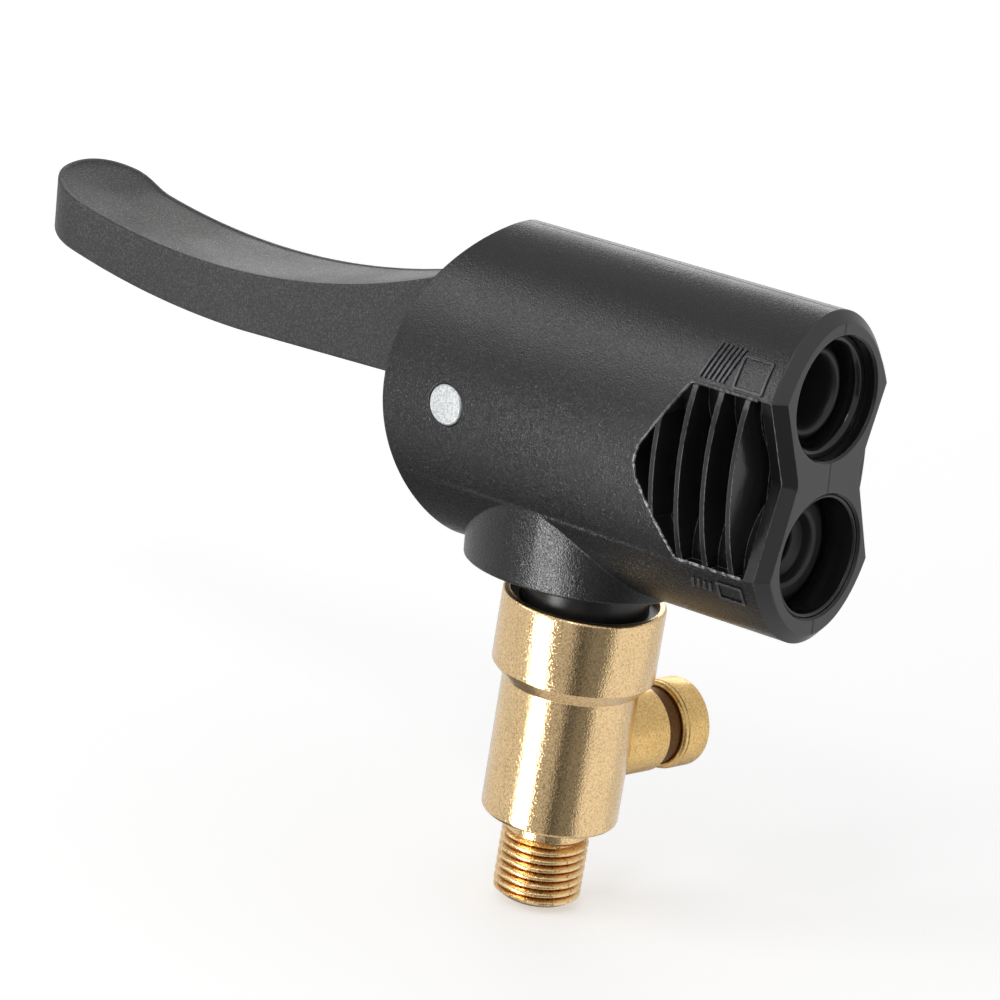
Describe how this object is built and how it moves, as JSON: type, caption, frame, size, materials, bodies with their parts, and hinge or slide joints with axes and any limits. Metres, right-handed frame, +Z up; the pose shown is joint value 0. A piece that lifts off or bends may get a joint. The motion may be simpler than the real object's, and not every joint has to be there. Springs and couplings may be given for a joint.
{
  "type": "tyre valve connector",
  "caption": "Lever-lock tyre valve connector with a wide and a slim port, on a swivelling brass hose adapter with a push bleed valve.",
  "frame": {"origin": "middle of the hose thread, on the adapter's axis", "axes": "+X along the ports, out of their mouths; +Y to the head's side that the bleed valve faces; +Z up the head, from the small port to the large one"},
  "size_m": [0.1127, 0.0304, 0.0758],
  "materials": {
    "brass": "satin turned with a bright streak",
    "dark_brass": "dull, tarnished in the groove",
    "yellow_brass": "satin turned",
    "black_nylon": "fine moulded grain, semi-gloss",
    "gloss_black": "smooth and glossy",
    "lever_nylon": "fine moulded grain, matte",
    "rubber": "smooth, matte",
    "steel_pin": "cut end, granular",
    "spring_steel": "plain",
    "bronze": "sintered, oiled",
    "acetal": "smooth, natural white"
  },
  "bodies": {
    "adapter": {"adapter_body": "brass", "stub_dust_seal": "rubber", "snap_ring": "spring_steel", "bleed_cartridge": "dark_brass", "bleed_seat": "rubber", "bleed_spring": "spring_steel"},
    "bleed_push": {"bleed_button": "yellow_brass", "bleed_stem": "yellow_brass"},
    "head": {"head_housing": "black_nylon", "stub_seal": "rubber", "pivot_pin": "steel_pin", "upper_gasket": "rubber", "lower_gasket": "rubber", "upper_port_ring": "gloss_black", "lower_port_ring": "gloss_black"},
    "lever": {"lever": "lever_nylon", "lever_bush": "bronze"},
    "plungers": {"pressure_bridge": "acetal", "upper_plunger": "acetal", "lower_plunger": "acetal", "upper_plunger_seal": "rubber", "lower_plunger_seal": "rubber", "upper_washer": "spring_steel", "lower_washer": "spring_steel", "valve_depressor": "yellow_brass"}
  },
  "joints": [
    {"name": "head_swivel", "type": "hinge", "parent": "adapter", "child": "head", "pos_m": [0, 0, 0], "axis": [0.0792, 0, 0.9969], "continuous": true},
    {"name": "lever_swing", "type": "hinge", "parent": "head", "child": "lever", "pos_m": [-0.0103, 0, 0.05183], "axis": [0, -1, 0], "range_deg": [0, 55]},
    {"name": "plunger_slide", "type": "slide", "parent": "head", "child": "plungers", "axis": [1, 0, 0], "range_m": [0, 0.00221]},
    {"name": "bleed_press", "type": "slide", "parent": "adapter", "child": "bleed_push", "axis": [-0.1387, -0.9903, 0.011], "range_m": [0, 0.0014], "stiffness_N_per_m": 800, "springref_m": -0.002}
  ],
  "couplings": [
    {"joint": "plunger_slide", "follows": "lever_swing", "m_per_rad": 0.0022918}
  ]
}
